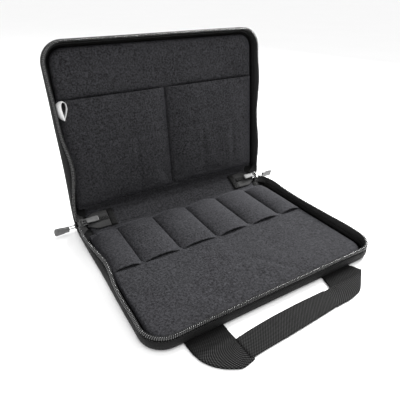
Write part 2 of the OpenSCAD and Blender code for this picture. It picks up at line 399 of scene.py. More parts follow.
def velour_look():
    """Loop velour: a mottled nap of fine loops with a soft cool sheen."""
    look = Look("loop_velour", Specular_IOR_Level=0.05, Sheen_Weight=0.07, Sheen_Roughness=0.4)
    look.shader.inputs["Sheen Tint"].default_value = (0.8, 0.8, 0.92, 1)
    at = look.object_coords()
    loops = look.noise(at, 1000, 2.0, 0.7)
    tufts = look.noise(at, 400, 3.0, 0.7)
    mottle = look.noise(at, 130, 3.0)
    worn = look.noise(at, 14, 3.0)
    nap = look.math("MULTIPLY_ADD", loops, 0.35, look.math("MULTIPLY", tufts, 0.65))
    shade = look.mix(look.span(nap, 0.38, 0.62), grey(0.0025, COOL), grey(0.042, COOL))
    shade = look.mix(look.span(mottle, 0.3, 0.75, 0.0, 0.3), shade, grey(0.012))
    shade = look.mix(look.span(worn, 0.35, 0.7, 0.0, 0.25), shade, grey(0.034, COOL))
    look.colour(shade)
    look.roughness(look.span(tufts, 0.3, 0.7, 0.82, 1.0))
    deep = look.bump(tufts, 0.0009, 0.8)
    look.normal(look.bump(loops, 0.0005, 0.6, deep))
    return look.mat


def weave(look, pitch_u, pitch_v):
    """Over-and-under height of a plain weave on coordinates in mm."""
    parts = look.node("ShaderNodeSeparateXYZ", [(0, look.uv())])
    u = look.math("SINE", look.math("MULTIPLY", parts.outputs[0], math.pi / pitch_u))
    v = look.math("SINE", look.math("MULTIPLY", parts.outputs[1], math.pi / pitch_v))
    return look.math("MULTIPLY", u, v)


def nylon_look():
    """Black coated nylon of the cover, with a fine weave and a dull sheen."""
    look = Look("cover_nylon", Specular_IOR_Level=0.12, Sheen_Weight=0.01, Sheen_Roughness=0.4)
    over = weave(look, 0.55, 0.55)
    at = look.object_coords()
    cloud = look.noise(at, 45, 4.0)
    shade = look.mix(look.span(over, -1, 1), grey(0.002), grey(0.008))
    shade = look.mix(look.span(cloud, 0.35, 0.75, 0.0, 0.4), shade, grey(0.012))
    look.colour(shade)
    look.roughness(look.span(cloud, 0.3, 0.7, 0.5, 0.68))
    soft = look.bump(cloud, 0.0008, 0.35)
    look.normal(look.bump(over, 0.00018, 0.8, soft))
    return look.mat


def tape_look(name, dark, light):
    """Woven zip tape, in a fine over-and-under weave."""
    look = Look(name, Specular_IOR_Level=0.1, Sheen_Weight=0.03, Sheen_Roughness=0.4)
    over = weave(look, 0.8, 0.45)
    cloud = look.noise(look.object_coords(), 120, 3.0)
    shade = look.mix(look.span(over, -1, 1), grey(dark), grey(light))
    look.colour(look.mix(look.span(cloud, 0.4, 0.7, 0.0, 0.3), shade, grey(light)))
    look.roughness(look.span(cloud, 0.3, 0.7, 0.6, 0.78))
    look.normal(look.bump(over, 0.00016, 0.9))
    return look.mat


def webbing_look():
    """Heavy nylon webbing: staggered ribs about 2.3 mm apart, with painted shade close to the case."""
    look = Look("nylon_webbing", Specular_IOR_Level=0.06, Sheen_Weight=0.01, Sheen_Roughness=0.4)
    over = weave(look, 1.15, 1.3)
    fine = weave(look, 0.3, 0.26)
    cloud = look.noise(look.object_coords(), 90, 3.0)
    height = look.math("MULTIPLY_ADD", fine, 0.15, over)
    shade = look.mix(look.span(over, -0.15, 0.8), grey(0.0015), grey(0.044))
    shade = look.mix(look.span(cloud, 0.4, 0.75, 0.0, 0.35), shade, grey(0.008))
    along = look.node("ShaderNodeSeparateXYZ", [(0, look.uv())]).outputs[0]
    # Painted shade: the first 15 to 20 mm of each strap's length, next to the case, is darkened to near
    # black.
    look.colour(look.mix(look.span(along, 15, 20, 0.72, 0.0), shade, grey(0.0015)))
    look.roughness(look.span(over, -1, 1, 0.8, 0.45))
    look.normal(look.bump(height, 0.0005, 0.9))
    return look.mat


def coil_look():
    """Black nylon monofilament, smooth enough to catch the light on each tooth."""
    look = Look("coil_filament", Specular_IOR_Level=0.8, IOR=1.55, Coat_Weight=0.4,
                Coat_Roughness=0.15)
    cloud = look.noise(look.object_coords(), 500, 2.0)
    look.colour(look.mix(look.span(cloud, 0.3, 0.7), grey(0.016), grey(0.03)))
    look.roughness(look.span(cloud, 0.3, 0.7, 0.18, 0.34))
    look.normal(look.bump(cloud, 0.00006, 0.6))
    return look.mat


def metal_look(name, level, rough):
    """Plated zinc or wire with small scuffs."""
    look = Look(name, Metallic=1.0)
    at = look.object_coords()
    scuff = look.noise(at, 900, 4.0, 0.7)
    cloud = look.noise(at, 160, 3.0)
    shade = look.mix(look.span(cloud, 0.35, 0.7), grey(level * 0.6), grey(level))
    look.colour(look.mix(look.span(scuff, 0.58, 0.7), shade, grey(min(1.0, level * 1.5))))
    look.roughness(look.span(scuff, 0.3, 0.7, rough, rough + 0.22))
    look.normal(look.bump(scuff, 0.00005, 0.6))
    return look.mat


def rubber_look():
    """Moulded grey pull tabs, with a fine spark-eroded grain."""
    look = Look("pull_rubber", Specular_IOR_Level=0.45)
    at = look.object_coords()
    grain = look.noise(at, 1500, 3.0)
    cloud = look.noise(at, 130, 3.0)
    look.colour(look.mix(look.span(cloud, 0.3, 0.7), grey(0.07), grey(0.11)))
    look.roughness(look.span(grain, 0.3, 0.7, 0.42, 0.6))
    look.normal(look.bump(grain, 0.00008, 0.7))
    return look.mat


def ribbon_look():
    """White woven ribbon of the blank label."""
    look = Look("label_ribbon", Specular_IOR_Level=0.3, Sheen_Weight=0.2)
    over = weave(look, 0.5, 0.35)
    cloud = look.noise(look.object_coords(), 200, 3.0)
    shade = look.mix(look.span(over, -1, 1), grey(0.62), grey(0.86))
    look.colour(look.mix(look.span(cloud, 0.4, 0.8, 0.0, 0.3), shade, grey(0.55)))
    look.roughness(look.span(cloud, 0.3, 0.7, 0.55, 0.75))
    look.normal(look.bump(over, 0.00012, 0.8))
    return look.mat


def thread_look():
    """Bonded sewing thread with a twist."""
    look = Look("sewing_thread", Specular_IOR_Level=0.2, Sheen_Weight=0.05)
    twist = look.noise(look.object_coords(), 2200, 2.0)
    look.colour(look.mix(look.span(twist, 0.3, 0.7), grey(0.008), grey(0.026)))
    look.roughness(look.span(twist, 0.3, 0.7, 0.45, 0.65))
    look.normal(look.bump(twist, 0.0001, 0.8))
    return look.mat


VELOUR = velour_look()
NYLON = nylon_look()
TAPE = tape_look("zip_tape", 0.01, 0.034)
TAIL_TAPE = tape_look("tail_tape", 0.02, 0.055)
WEBBING = webbing_look()
COIL = coil_look()
SLIDER_METAL = metal_look("slider_gunmetal", 0.11, 0.2)
WIRE_METAL = metal_look("pull_wire", 0.07, 0.2)
RUBBER = rubber_look()
RIBBON = ribbon_look()
THREAD = thread_look()


# ------------------------------------------------------------------ the rim of a half

# Gentle leans of the wall's top edge: side, middle of the lean, half length, how far out.
LEANS = {
    "base": [(-1, -90.0, 36.0, -6.5), (-1, -22.0, 14.0, 1.6), (-1, -190.0, 24.0, -0.6),
             (1, -17.0, 26.0, 4.0), (1, -97.0, 30.0, -1.2), (1, -185.0, 26.0, 2.0)],
    "lid": [(-1, -70.0, 40.0, -10.5), (-1, -150.0, 34.0, -2.5),
            (1, -155.0, 30.0, 3.4), (1, -45.0, 26.0, 3.0), (1, -98.0, 18.0, -0.8)],
}


def rim(step):
    """Points of the coil line in plan, about step mm apart, and their outward directions.

    They go from the left back end round the front to the right back end.
    """
    flat = HALF_W - CORNER_R
    y_corner = FRONT + CORNER_R
    side_count = max(2, int(abs(y_corner - RIM_END) / step))
    turn_count = max(4, int(CORNER_R * math.pi / 2 / step))
    side_y = np.linspace(RIM_END, y_corner, side_count, endpoint=False)
    turn = np.linspace(0, math.pi / 2, turn_count, endpoint=False)
    front_x = np.linspace(-flat, flat, int(2 * flat / step), endpoint=False)
    left_out = np.stack([-np.cos(turn), -np.sin(turn)], -1)
    right_out = np.stack([np.sin(turn), -np.cos(turn)], -1)
    points = np.concatenate([
        np.stack([np.full_like(side_y, -HALF_W), side_y], -1),
        np.array([-flat, y_corner]) + CORNER_R * left_out,
        np.stack([front_x, np.full_like(front_x, FRONT)], -1),
        np.array([flat, y_corner]) + CORNER_R * right_out,
        np.array([[HALF_W, y_corner]]),
        np.stack([np.full_like(side_y, HALF_W), side_y[::-1]], -1)])
    outwards = np.concatenate([
        np.tile([-1.0, 0.0], (side_count, 1)), left_out,
        np.tile([0.0, -1.0], (len(front_x), 1)), right_out,
        np.tile([1.0, 0.0], (side_count + 1, 1))])
    return points, outwards


def lean(half, points, z):
    """How far the wall leans outwards at a height z, for plan points of one half."""
    shift = np.zeros(len(points))
    for side, middle, length, amount in LEANS[half]:
        on_side = (np.sign(points[:, 0]) == side) & (points[:, 1] > FRONT + CORNER_R * 0.5)
        shift += on_side * amount * bump_at(points[:, 1], middle, length)
    front = ramp(-points[:, 1], -FRONT - 12, -FRONT)
    shift += front * 0.2 * np.sin(points[:, 0] / 31.0)
    return shift * np.clip(z / COIL_TOP, 0, 1) ** 1.4


def lean_at_end(half, side, z):
    """The lean where a side wall ends beside its fold."""
    return lean(half, np.array([[side * HALF_W, RIM_END]]), z)[0]


def rim_lift(half, points):
    """How far the coil line dips or rises along the rim."""
    lift = 0.5 * np.sin(points[:, 0] / 40.0 + 1.0) * ramp(-points[:, 1], 150, 225)
    if half == "lid":
        lift = lift - 2.2 * bump_at(points[:, 0], -10, 60) * ramp(-points[:, 1], 200, 230)
    return lift


def sweep_rim(half, profile, step=4.0):
    """Grid in mm of a profile of (e, z) points, e outwards from the coil line, swept round the rim."""
    points, outwards = rim(step)
    lift = rim_lift(half, points)
    rows = []
    for e, z in profile:
        xy = points + outwards * (e + lean(half, points, z))[:, None]
        zz = z + lift * np.clip(z / COIL_TOP, 0, 1)
        rows.append(np.concatenate([xy, zz[:, None]], 1))
    return np.stack(rows, 1)


def closed_strip(name, half, profile, material, slot, *nodes):
    """Closed profile of (e, z) points swept round the rim, with both ends shut."""
    obj = grid_piece(name, AT[half](sweep_rim(half, profile)), material, tube=True)
    return piece(obj, half, slot, *nodes)


# ------------------------------------------------------------------ cover of a half

# Wall of the cover, from the folded top edge down to the flat of the panel.
WALL = [(-0.4, 11.4), (-0.1, 13.2), (0.7, 13.9), (1.6, 13.4), (2.1, 11.6), (2.5, 8.6),
        (2.3, 5.6), (1.5, 3.1), (0.0, 1.3), (-2.2, 0.45), (-5.5, 0.2)]
LID_CROWN = 2.4          # how far the lid's outer face bulges


def panel_rings(half, edge):
    """Rings of a half's outer face, from inside the wall's last row to near the middle."""
    back_y = FOLD_BASE[1] - 1.5
    middle = np.array([0.0, (FRONT + back_y) / 2, 0.0])
    rings = []
    for share in (0.93, 0.84, 0.7, 0.5, 0.28, 0.1):
        ring = middle + (edge - middle) * share
        ring[:, 2] = edge[:, 2]
        if half == "lid":
            uneven = 0.25 * wander(ring[:, 0], ring[:, 1], 5, 120)
            ring[:, 2] = ring[:, 2] - LID_CROWN * (1 - share) ** 0.7 + uneven
        rings.append(ring)
    return np.stack(rings, 1)


def half_cover(half):
    """Outer fabric of one half: the leaning wall on three sides and the panel."""
    wall = sweep_rim(half, WALL)
    grid = np.concatenate([wall, panel_rings(half, wall[:, -1])], 1)
    rows, columns = grid.shape[:2]
    faces = grid_faces(rows, columns)
    # Hinge side: join the two open ends of every ring beyond the wall.
    last = (rows - 1) * columns
    for j in range(len(WALL) - 1, columns - 1):
        faces.append((j, j + 1, last + j + 1, last + j))
    faces.append(tuple(i * columns + columns - 1 for i in range(rows)))
    uv = grid[..., :2].copy()
    uv[:, :len(WALL), 0] = running(rim(4.0)[0])[:, None]
    uv[:, :len(WALL), 1] = running(np.array(WALL))[None, :]
    obj = make_object(half + "_cover", AT[half](grid).reshape(-1, 3), faces, uv.reshape(-1, 2), NYLON)
    outward(obj)
    thicken(obj, 0.9)
    piece(obj, half, "cover", half + "_shell")


def rim_binding(half):
    """Rolled binding that covers the inner seam of the wall."""
    profile = [(-1.4, 5.0), (-1.3, 9.4), (-1.9, 10.6), (-3.0, 10.4), (-3.7, 9.2), (-3.8, 6.5),
               (-3.4, 5.0)]
    closed_strip(half + "_binding", half, profile, NYLON, "cover")


# ------------------------------------------------------------------ zip tape and coil

TAPE_E = -0.9            # how far inside the coil line the tape stands
COIL_PITCH = 2.3
WIRE_R = 0.45


def zip_tape(half):
    """Upright tape inside the wall's top edge, which carries the coil."""
    profile = [(TAPE_E - 0.35, 8.5), (TAPE_E + 0.35, 8.5), (TAPE_E + 0.4, 14.0),
               (TAPE_E + 0.35, 19.6), (TAPE_E, 20.0), (TAPE_E - 0.35, 19.6), (TAPE_E - 0.4, 14.0)]
    closed_strip(half + "_tape", half, profile, TAPE, "tape", half + "_zip_tape")


def helix_mesh(name, path, out, up, material, semi_out, semi_up):
    """Coil wound round a path in mm; out and up are the two directions across it."""
    per_turn, ring = 12, 5
    run = running(path)
    count = int(run[-1] / COIL_PITCH * per_turn)
    at = np.linspace(0, run[-1], count)
    angle = np.arange(count) * 2 * math.pi / per_turn
    centre, o, u = sample(path, run, at), sample(out, run, at), sample(up, run, at)
    squeeze = 1.0 + 0.18 * np.cos(2 * angle)
    line = centre + o * (semi_out * np.cos(angle) * squeeze)[:, None]
    line = line + u * (semi_up * np.sin(angle))[:, None]
    tangent = unit(np.gradient(line, axis=0))
    side = unit(np.cross(tangent, line - centre))
    other = np.cross(tangent, side)
    theta = np.arange(ring) * 2 * math.pi / ring
    # The wire is thicker at the top of each turn, where the teeth meet.
    wire = WIRE_R * (1 + 0.5 * np.maximum(0, np.sin(angle)) ** 4)
    tube = (line[:, None] + side[:, None] * (wire[:, None] * np.cos(theta))[..., None]
            + other[:, None] * (wire[:, None] * np.sin(theta))[..., None])
    obj = grid_piece(name, tube, material, tube=True)
    obj.data.transform(Matrix.Scale(MM, 4))
    return obj


def zip_coil(half):
    """Open coil round the rim of a half."""
    e, z = 0.55, 17.8
    line = AT[half](sweep_rim(half, [(e, z), (e + 1.0, z), (e, z + 1.0)]))
    path = line[:, 0]
    out, up = unit(line[:, 1] - path), unit(line[:, 2] - path)
    obj = helix_mesh(half + "_coil", path / MM, out, up, COIL, 1.15, 1.9)
    piece(obj, half, "coil", half + "_zip_coil")


def zip_corner(half, side):
    """Tape and coil from the end of a half's rim up into the throat of a slider."""
    name = "%s_zip_corner_%s" % (half, SIDES[side])
    way = -1.0 if half == "base" else 1.0
    into = np.array([-side, 0.0, 0.0])

    def start(e, z, y=RIM_END):
        return AT[half]([side * (HALF_W + e + lean_at_end(half, side, z)), y, z])

    def curve(e, z, x, s, n, pull_start, pull_end, count=16):
        p0 = start(e, z)
        p1 = spine_at([side * x, SPINE_MID + way * s, n])
        ahead = unit(p0 - start(e, z, RIM_END - 1.0))
        return hermite(p0[None], ahead * pull_start * MM, p1[None], into * pull_end * MM, count)[:, 0]

    top = curve(TAPE_E, 19.9, 156, 1.2, 6.4, 26, 30)
    low = curve(TAPE_E, 9.0, 153, 12.0, 4.9, 14, 12)
    rows = [top * (1 - share) + low * share for share in np.linspace(0, 1, 6)]
    tape = grid_piece(name + "_tape", np.stack(rows, 1), TAPE)
    thicken(tape, 0.7, 0.0)
    bend_half(tape, half, "tape")

    line = curve(0.5, 17.3, 156, 3.2, 6.3, 28, 34, 24)
    up = unit(sample(top - low, np.linspace(0, 1, len(top)), np.linspace(0, 1, len(line))))
    out = unit(np.cross(up, unit(np.gradient(line, axis=0))))
    coil = helix_mesh(name + "_coil", line / MM, out, up, COIL, 1.1, 2.0)
    bend_half(coil, half, "coil")


# ------------------------------------------------------------------ cover round the spine

SPINE_SKIN_N = -1.15     # n of the cover's outer face on the spine
SPINE_WALL = 0.3         # height of the cover's turned-up sides there, as a share of the wall's
SPINE_FROM_FOLD = 13.0   # how far past the fold the cover has reached the spine's shape


def across_profile(half, scale, z_low):
    """Left wall, panel and right wall as one line of (x, z), for a wall scaled in height."""
    wall = np.array(WALL)
    sides = []
    for side in SIDES:
        shift = np.array([lean_at_end(half, side, z) for z in wall[:, 1]])
        x = side * (HALF_W + wall[:, 0] + shift * scale)
        z = z_low + (wall[:, 1] - wall[-1, 1]) * scale
        sides.append(np.stack([x, z], -1))
    flat_x = np.linspace(-HALF_W + 12, HALF_W - 12, 9)
    flat = np.stack([flat_x, np.full_like(flat_x, z_low)], -1)
    return np.concatenate([sides[0], flat, sides[1][::-1]])


def spine_cover(half):
    """Outer fabric from the end of a half's wall to the middle of the spine."""
    in_base = half == "base"
    start = across_profile(half, 1.0, WALL[-1][1])
    end = across_profile(half, SPINE_WALL, SPINE_SKIN_N)

    def row(place, profile, along):
        return place(np.stack([profile[:, 0], np.full(len(profile), along), profile[:, 1]], -1))

    inside = row(AT[half], start, RIM_END - 3.0)
    edge = row(AT[half], start, RIM_END)
    near = row(spine_at, end, SPINE_FROM_FOLD if in_base else SPINE_LEN - SPINE_FROM_FOLD)
    middle = row(spine_at, end, SPINE_MID)
    ahead = unit(edge - inside)
    to_middle = unit(spine_at([0, 1.0 if in_base else -1.0, 0]) - spine_at([0, 0, 0]))
    gap = np.linalg.norm(near - edge, axis=1)[:, None]
    curve = hermite(edge, ahead * gap, near, to_middle * gap, 14)
    rest = near + (middle - near) * np.linspace(0, 1, 4)[1:, None, None]
    obj = grid_piece(half + "_fold_cover", np.concatenate([inside[None], curve, rest]), NYLON)
    flip_towards(obj, np.array([0, 1, -0.6]))
    thicken(obj, 0.8)
    bend_half(obj, half, "cover", *(["spine_cover"] if in_base else []))


# ------------------------------------------------------------------ padding

PANEL_BOTTOM = 4.2
PANEL_BACK = -2.0        # y of the panels' back edges
PANEL_EDGE = ((0.0, 0.0), (0.0, 0.35), (0.6, 0.66), (1.8, 0.86), (3.6, 0.96), (6.5, 1.0))
PAD_SHEET = 2.2          # thickness of a pocket's padded sheet
MAX_SWELL = 1.2          # the most that air pressure may move a pad's point
SWELL_FRAMES = 20


def superarch(u, power, root):
    """Arch from 0 at the seams (u = -1, 1) to 1 in the middle."""
    return np.maximum(0.0, 1 - np.abs(u) ** power) ** root


def pad_stations(columns, rows):
    """Places across (-1 to 1) and from mouth to back (0 to 1), closer near the edges."""
    even = np.linspace(-1, 1, columns)
    t = np.linspace(0, 1, rows)
    return np.meshgrid(0.55 * np.sin(even * math.pi / 2) + 0.45 * even,
                       0.5 * t + 0.5 * (1 - np.cos(t * math.pi)) / 2)


def rolled_lip(outer, inner):
    """Rows that roll a sheet's mouth edge over from its outer to its inner face."""
    rows = []
    for angle in (0.35, 1.0, 1.57, 2.14, 2.8):
        share = (1 - math.cos(angle)) / 2
        row = outer * (1 - share) + inner * share
        row[:, 1] = row[:, 1] - 1.1 * math.sin(angle)
        rows.append(row)
    return np.stack(rows)


def pad_sheet(name, half, x_span, y_span, z_span, across, seed, imprint=None, mouth_drop=1.6,
              corner=0.0, columns=25, rows=37):
    """Padded pocket sheet: sewn down on its sides and back, with a rolled open mouth.

    The spans run from left to right, mouth to back, and seam to full height above the
    half's outer face. corner is the side (-1 or 1) whose back corner is drawn in. One skin
    makes the outer face, the rolled mouth edge and the inner face; the points that are held
    while it swells are kept in obj["sewn"].
    """
    (x0, x1), (y_mouth, y_back), (bottom, top) = x_span, y_span, z_span
    mid, wide = (x0 + x1) / 2, (x1 - x0) / 2
    uu, tt = pad_stations(columns, rows)
    x = mid + wide * uu
    y = y_mouth + (y_back - y_mouth) * tt
    from_back = y_back - y
    arch = superarch(uu, *across)
    close = rounded(from_back / 9.0)
    mouth = 1 - mouth_drop / (top - bottom) * (1 - ramp(tt, 0.0, 0.35))
    height = (top - bottom) * arch * close * mouth
    height = height + arch * close * 0.45 * wander(x, y, seed, 46)
    # Small puckers where the sheet is pulled down by its stitches.
    near_seam = np.exp(-((1 - np.abs(uu)) * wide / 5.0) ** 2)
    height = height + near_seam * arch * 0.35 * np.sin(y * 2 * math.pi / 7.3 + seed)
    if imprint is not None:
        height = height - imprint(x, y) * arch * close
    if corner:
        # Outer back corner drawn in by its curved seam.
        far = np.clip(corner * (x - mid) / wide, 0, 1) * (1 - np.clip(from_back / 22.0, 0, 1))
        x = x - corner * 6.0 * far ** 2
        y = y - 5.0 * far ** 2
    sheet = PAD_SHEET * np.clip(arch * 1.6, 0, 1) * np.clip(close * 1.3, 0, 1)
    outer = np.stack([x, y, bottom + height], -1)
    inner = np.stack([x, y, bottom + np.maximum(0.0, height - sheet) - 0.12], -1)
    grid = np.concatenate([outer[::-1], rolled_lip(outer[0], inner[0]), inner])
    obj = grid_piece(name, AT[half](grid), VELOUR, uv=grid[..., :2].copy())
    free = np.zeros(grid.shape[:2], bool)
    free[2:rows - 2, 2:-2] = True
    obj["sewn"] = [int(i) for i in np.flatnonzero(~free.ravel())]
    return obj


def panel_outline():
    """Even points round a panel: two rounded front corners and two square back ones."""
    radius = CORNER_R - PAD_INSET
    outline = []
    for side, start in ((-1, math.pi), (1, 1.5 * math.pi)):
        centre = (side * (PAD_W - radius), PAD_FRONT + radius)
        for angle in np.linspace(start, start + math.pi / 2, 9):
            outline.append((centre[0] + radius * math.cos(angle), centre[1] + radius * math.sin(angle)))
    outline += [(PAD_W, PANEL_BACK), (-PAD_W, PANEL_BACK), outline[0]]
    line = np.array(outline)
    run = running(line)
    return sample(line, run, np.linspace(0, run[-1], int(run[-1] / 4.0), endpoint=False))


def shrink(loop, middle, inset):
    """Loop moved in by about inset on every side."""
    size = np.abs(loop - middle).max(0)
    return middle + (loop - middle) * (1 - inset / size)


def plan_pad(name, half, top, seed, dents):
    """Flat padded panel with rounded front corners and soft rolled edges."""
    loop = panel_outline()
    middle = np.array([0.0, (PAD_FRONT + PANEL_BACK) / 2])
    rings = [(shrink(loop, middle, inset), rise) for inset, rise in PANEL_EDGE]
    core = rings[-1][0]
    rings += [(middle + (core - middle) * share, 1.0) for share in np.linspace(0.93, 0.07, 22)]
    grid = []
    for ring, rise in rings:
        z = np.full(len(ring), PANEL_BOTTOM + (top - PANEL_BOTTOM) * rise)
        if rise >= 0.96:
            z = z + 0.5 * wander(ring[:, 0], ring[:, 1], seed, 90)
            z = z + 0.25 * wander(ring[:, 0], ring[:, 1], seed + 1, 34)
            z = z - dents(ring[:, 0], ring[:, 1])
        grid.append(np.concatenate([ring, z[:, None]], 1))
    grid = np.stack(grid, 1)
    n, m = grid.shape[:2]
    faces = grid_faces(n, m, wrap_u=True)
    faces.append(tuple(i * m + m - 1 for i in range(n)))
    faces.append(tuple(i * m for i in reversed(range(n))))
    points = AT[half](grid).reshape(-1, 3)
    return outward(make_object(name, points, faces, grid[..., :2].reshape(-1, 2), VELOUR))


def swell(obj):
    """Lets a sewn pad fill out under air pressure, held at the points in obj["sewn"]."""
    start = np.array([v.co for v in obj.data.vertices])
    seam = obj.vertex_groups.new(name="sewn")
    seam.add(list(obj["sewn"]), 1.0, "REPLACE")
    cloth = modifier(obj, "CLOTH")
    cloth.settings.vertex_group_mass = "sewn"
    cloth.settings.use_pressure = True
    cloth.settings.uniform_pressure_force = 4.0
    cloth.settings.effector_weights.gravity = 0.0
    cloth.collision_settings.use_collision = False
    cloth.point_cache.frame_start, cloth.point_cache.frame_end = 1, SWELL_FRAMES
    scene = bpy.context.scene
    for step in range(1, SWELL_FRAMES + 1):
        scene.frame_set(step)
    dg = bpy.context.evaluated_depsgraph_get()
    filled = np.array([v.co for v in obj.evaluated_get(dg).data.vertices])
    obj.modifiers.clear()
    scene.frame_set(1)
    obj.vertex_groups.clear()
    move = filled - start
    far = np.linalg.norm(move, axis=1)
    move *= np.minimum(1.0, MAX_SWELL * MM / np.maximum(far, 1e-9))[:, None]
    obj.data.vertices.foreach_set("co", (start + move).ravel())
    obj.data.update()


def finish_pad(obj, body, fill, *nodes, levels=1):
    """Swells a sewn pad, smooths it and lets it ride on its body."""
    if "sewn" in obj:
        swell(obj)
        del obj["sewn"]
    subdivide(obj, levels)
    for p in obj.data.polygons:
        p.use_smooth = True
    piece(obj, body, "velour", *nodes)


def base_dents(x, y):
    """Faint creases across the front panel, and the lining lying lower under the pockets."""
    under = 1.9 * ramp(y, POCKET_MOUTH + 1.0, POCKET_MOUTH + 9.0)
    middle_line = (x - 8.0) * 0.42 + (y + 165.0) * 0.9
    front_line = (x - 30.0) * 0.8 + (y + 185.0) * 0.6
    middle_crease = 1.3 * bump_at(middle_line, 0, 3.0) * bump_at(x, 0, 26)
    front_crease = 0.8 * bump_at(front_line, 0, 4.0) * bump_at(x, 26, 24)
    return under + middle_crease + front_crease


def pocket_imprint(x, y):
    """Marks that the small pockets press into the lid's large pockets when it is shut."""
    marks = bump_at(y, -98.5, 2.6) * 1.1
    below = ramp(y, -99, -94)
    # Seams between the small pockets. The one at 0 falls on the lid's own seam.
    for seam in (-115.0, -57.5, 57.5, 115.0):
        marks = marks + bump_at(x, seam, 3.0) * below * 1.2
        marks = marks - bump_at(x, seam - 7.0, 5.0) * below * 0.4
    return marks


def lid_dents(x, y):
    """The lining dips in behind the mouths of the lid's pockets and at the seam between them."""
    behind = 4.2 * ramp(y, LID_MOUTH - 3.0, LID_MOUTH + 1.5)
    seam = 2.4 * bump_at(x, 0, 3.0) * ramp(y, LID_MOUTH - 6.0, LID_MOUTH)
    return np.minimum(behind + seam, 5.0)


def base_padding():
    """The base's front panel and its six small pockets."""
    panel = plan_pad("base_panel", "base", 9.2, 3, base_dents)
    finish_pad(panel, "base", 0.45, "base_lining", "base_front_panel", "base_board", "base_foam",
               levels=0)
    drawn_in = {1: -1.0, POCKETS: 1.0}
    for i in range(1, POCKETS + 1):
        low, high = node_box("base_pocket_%d" % i)
        obj = pad_sheet("base_pocket_pad_%d" % i, "base", (low[0] - 0.1, high[0] + 0.1),
                        (low[1], high[1]), (FLOOR_Z + 0.1, POCKET_TOP + 0.6), (2.1, 0.72),
                        10 + i, corner=drawn_in.get(i, 0.0))
        finish_pad(obj, "base", 0.7, "base_pocket_%d" % i)


def lid_padding():
    """The lid's panel and its two large pockets."""
    panel = plan_pad("lid_panel", "lid", 9.8, 21, lid_dents)
    finish_pad(panel, "lid", 0.45, "lid_lining", "lid_board", "lid_foam", levels=0)
    for side, name in SIDES.items():
        x_span = sorted((side * 1.2, side * (PAD_W + 1.5)))
        obj = pad_sheet("lid_pocket_pad_" + name, "lid", x_span, (LID_MOUTH, -6.0),
                        (FLOOR_Z - 1.5, 15.4), (7.0, 0.6), 31 + side, imprint=pocket_imprint,
                        mouth_drop=0.5, columns=61, rows=69)
        finish_pad(obj, "lid", 0.6, "lid_pocket_" + name)


# ------------------------------------------------------------------ spine lining

def lining_strip(name, stations, half_w, thickness):
    """Padded strip across the case through a list of (place, y or s, height) stations."""
    line = np.array([AT[place]([0.0, a, h]) for place, a, h in stations])
    run = running(line)
    path = relax(sample(line, run, np.linspace(0, run[-1], 15))[:, 1:], 3)
    along = unit(np.gradient(path, axis=0))
    normal = np.stack([-along[:, 1], along[:, 0]], -1)
    x = np.linspace(-half_w, half_w, 65)
    puff = rounded((half_w - np.abs(x)) / 3.0)
    rows = []
    for k, p in enumerate(path):
        share = k / (len(path) - 1)
        crown = thickness * (0.45 + 0.55 * math.sin(math.pi * share) ** 0.5)
        height = crown * puff + 0.18 * wander(x, np.full_like(x, share * 20), 71, 60) * puff
        outer = p + normal[k] * MM * height[:, None]
        inner = np.tile(p - normal[k] * MM * 0.2, (len(x), 1))
        top = np.concatenate([x[:, None] * MM, outer], 1)
        low = np.concatenate([x[:, None] * MM, inner], 1)
        rows.append(np.concatenate([top, low[::-1]]))
    return grid_piece(name, np.stack(rows), VELOUR, tube=True)


def spine_linings():
    """Lining of the spine, and of the folds to both sides of it."""
    middle = [("spine", 5.0, 1.2), ("spine", SPINE_MID, 1.5), ("spine", SPINE_LEN - 5.0, 1.2)]
    pad = lining_strip("spine_lining_pad", middle, 149.0, 1.2)
    finish_pad(pad, "spine", 0.5, "spine_lining", "spine_board", levels=0)
    in_half = [(-9.0, 6.0), (-1.5, 5.2), (5.5, 2.8)]
    in_spine = [(3.0, 1.1), (7.0, 1.2)]
    base_line = [("base", y, z) for y, z in in_half] + [("spine", s, n) for s, n in in_spine]
    lid_line = [("lid", y, z) for y, z in in_half] + [("spine", SPINE_LEN - s, n) for s, n in in_spine]
    for half, stations in (("base", base_line), ("lid", lid_line[::-1])):
        strip = lining_strip(half + "_hinge_lining", stations, 148.0, 1.3)
        bend_half(strip, half, "velour")


# ------------------------------------------------------------------ zip tails

# Section of a tail's tape: distance from the spine's middle line, and height n.
TAIL_SECTION = [(2.0, 5.1), (2.2, 5.35), (8.0, 5.3), (12.8, 4.9), (14.2, 4.2), (14.0, 3.9),
                (12.4, 4.5), (8.0, 4.75), (2.2, 4.75)]


def mirrored(points, side):
    """Points of the left side's shape, turned over for the right side."""
    points = np.array(points, float)
    points[..., 0] *= -side
    return points


def tail_width(x, s):
    """Distance of the tape's point s from the middle line: it narrows into the slider."""
    return 2.0 + (s - 2.0) * (1 - 0.55 * float(ramp(abs(x), 136, 153)))


def tail_row(x, way):
    """A tape's section at x, with a slight ripple beyond s = 9."""
    ripple = 0.12 * math.sin(x / 5.0)
    return [(x, SPINE_MID + way * tail_width(x, s), n + ripple * (s > 9)) for s, n in TAIL_SECTION]


